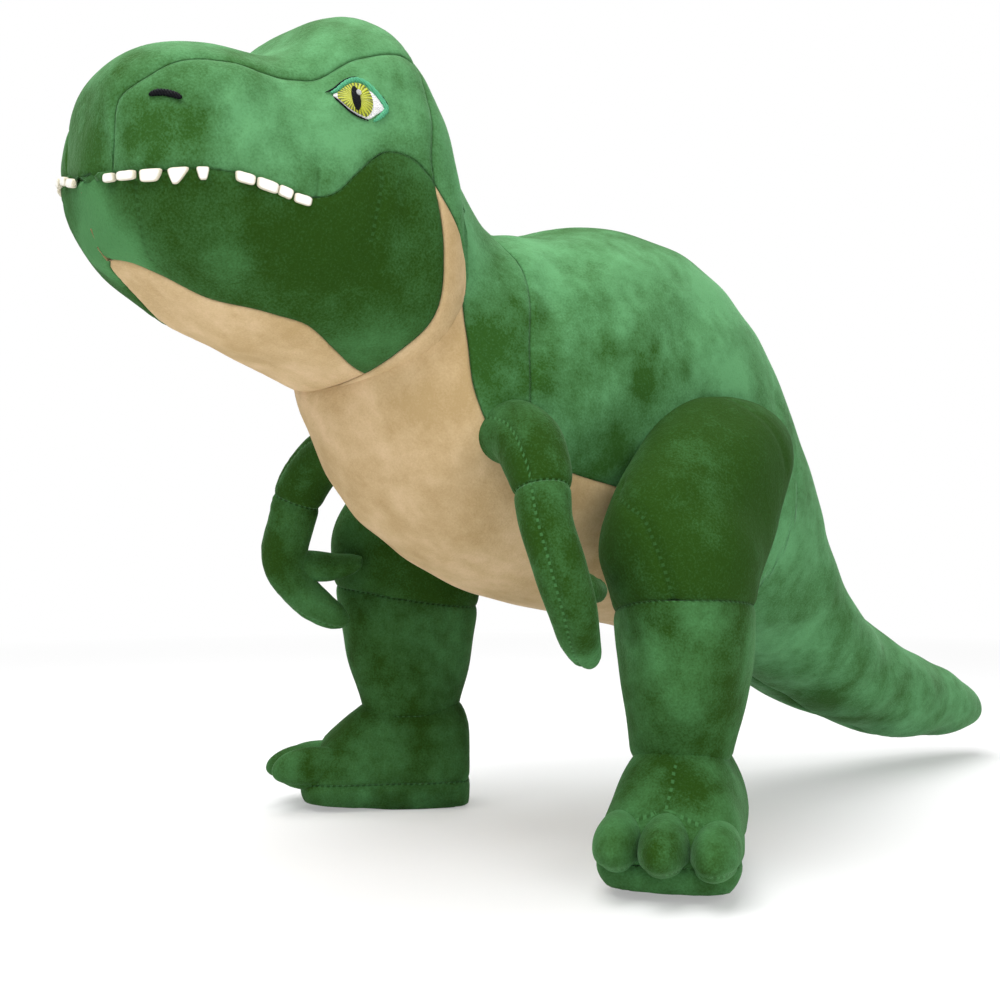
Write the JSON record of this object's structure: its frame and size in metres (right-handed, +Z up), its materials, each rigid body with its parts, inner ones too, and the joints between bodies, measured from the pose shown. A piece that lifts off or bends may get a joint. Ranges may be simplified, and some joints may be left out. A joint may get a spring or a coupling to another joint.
{
  "type": "stuffed toy dinosaur",
  "caption": "Free-standing stuffed theropod dinosaur of short-pile plush, with a nodding head, swinging arms, flexing hips and a wagging tail.",
  "frame": {"origin": "on the floor under the middle of the overall box", "axes": "+Z up, the toy faces -Y, its left side is +X"},
  "size_m": [0.2704, 0.536, 0.3077],
  "materials": {
    "light_green_plush": "short pile",
    "mid_green_plush": "short pile",
    "dark_green_plush": "short pile",
    "beige_plush": "short pile",
    "fibre_filling": "matte",
    "stiffener": "matte",
    "pellets": "matte",
    "tooth_plush": "short pile",
    "eye_white_thread": "matte",
    "iris_thread": "matte",
    "dark_thread": "matte",
    "lid_thread": "matte"
  },
  "bodies": {
    "torso": {"belly_panel": "beige_plush", "body_filling": "fibre_filling", "left_neck_panel": "light_green_plush", "right_neck_panel": "light_green_plush", "left_flank_panel": "light_green_plush", "right_flank_panel": "light_green_plush"},
    "head": {"head_top_panel": "light_green_plush", "throat_panel": "beige_plush", "head_filling": "fibre_filling", "left_head_side_panel": "light_green_plush", "right_head_side_panel": "light_green_plush", "left_nape_panel": "light_green_plush", "right_nape_panel": "light_green_plush", "left_jaw_panel": "dark_green_plush", "right_jaw_panel": "dark_green_plush", "left_eye_white": "eye_white_thread", "right_eye_white": "eye_white_thread", "left_iris": "iris_thread", "right_iris": "iris_thread", "left_pupil": "dark_thread", "right_pupil": "dark_thread", "left_eyelid": "lid_thread", "right_eyelid": "lid_thread", "left_nostril": "dark_thread", "right_nostril": "dark_thread", "left_teeth": "tooth_plush", "right_teeth": "tooth_plush"},
    "tail": {"tail_filling": "fibre_filling", "left_tail_panel": "light_green_plush", "right_tail_panel": "light_green_plush"},
    "left_leg": {"left_thigh_panel": "dark_green_plush", "left_shin_panel": "mid_green_plush", "left_foot_upper": "mid_green_plush", "left_sole": "mid_green_plush", "left_insole_board": "stiffener", "left_leg_filling": "fibre_filling", "left_pellet_pouch": "pellets", "left_toe_cap": "mid_green_plush"},
    "left_arm": {"left_upper_arm_panel": "mid_green_plush", "left_forearm_panel": "mid_green_plush", "left_arm_filling": "fibre_filling"},
    "right_leg": {"right_thigh_panel": "dark_green_plush", "right_shin_panel": "mid_green_plush", "right_foot_upper": "mid_green_plush", "right_sole": "mid_green_plush", "right_insole_board": "stiffener", "right_leg_filling": "fibre_filling", "right_pellet_pouch": "pellets", "right_toe_cap": "mid_green_plush"},
    "right_arm": {"right_upper_arm_panel": "mid_green_plush", "right_forearm_panel": "mid_green_plush", "right_arm_filling": "fibre_filling"}
  },
  "joints": [
    {"name": "neck_nod", "type": "hinge", "parent": "torso", "child": "head", "pos_m": [0, -0.146, 0.208], "axis": [1, 0, 0], "range_deg": [-8, 8], "stiffness_Nm_per_rad": 9},
    {"name": "tail_wag", "type": "hinge", "parent": "torso", "child": "tail", "pos_m": [0, 0.076, 0.087], "axis": [0, 0, 1], "range_deg": [-15, 15], "stiffness_Nm_per_rad": 1.2},
    {"name": "left_shoulder_swing", "type": "hinge", "parent": "torso", "child": "left_arm", "pos_m": [0.046, -0.13, 0.158], "axis": [1, 0, 0], "range_deg": [-60, 2], "stiffness_Nm_per_rad": 0.15},
    {"name": "left_hip_flex", "type": "hinge", "parent": "torso", "child": "left_leg", "pos_m": [0.057, -0.048, 0.132], "axis": [1, 0, 0], "range_deg": [-6, 6], "stiffness_Nm_per_rad": 20},
    {"name": "right_shoulder_swing", "type": "hinge", "parent": "torso", "child": "right_arm", "pos_m": [-0.046, -0.13, 0.158], "axis": [1, 0, 0], "range_deg": [-60, 2], "stiffness_Nm_per_rad": 0.15},
    {"name": "right_hip_flex", "type": "hinge", "parent": "torso", "child": "right_leg", "pos_m": [-0.057, -0.048, 0.132], "axis": [1, 0, 0], "range_deg": [-6, 6], "stiffness_Nm_per_rad": 20}
  ]
}
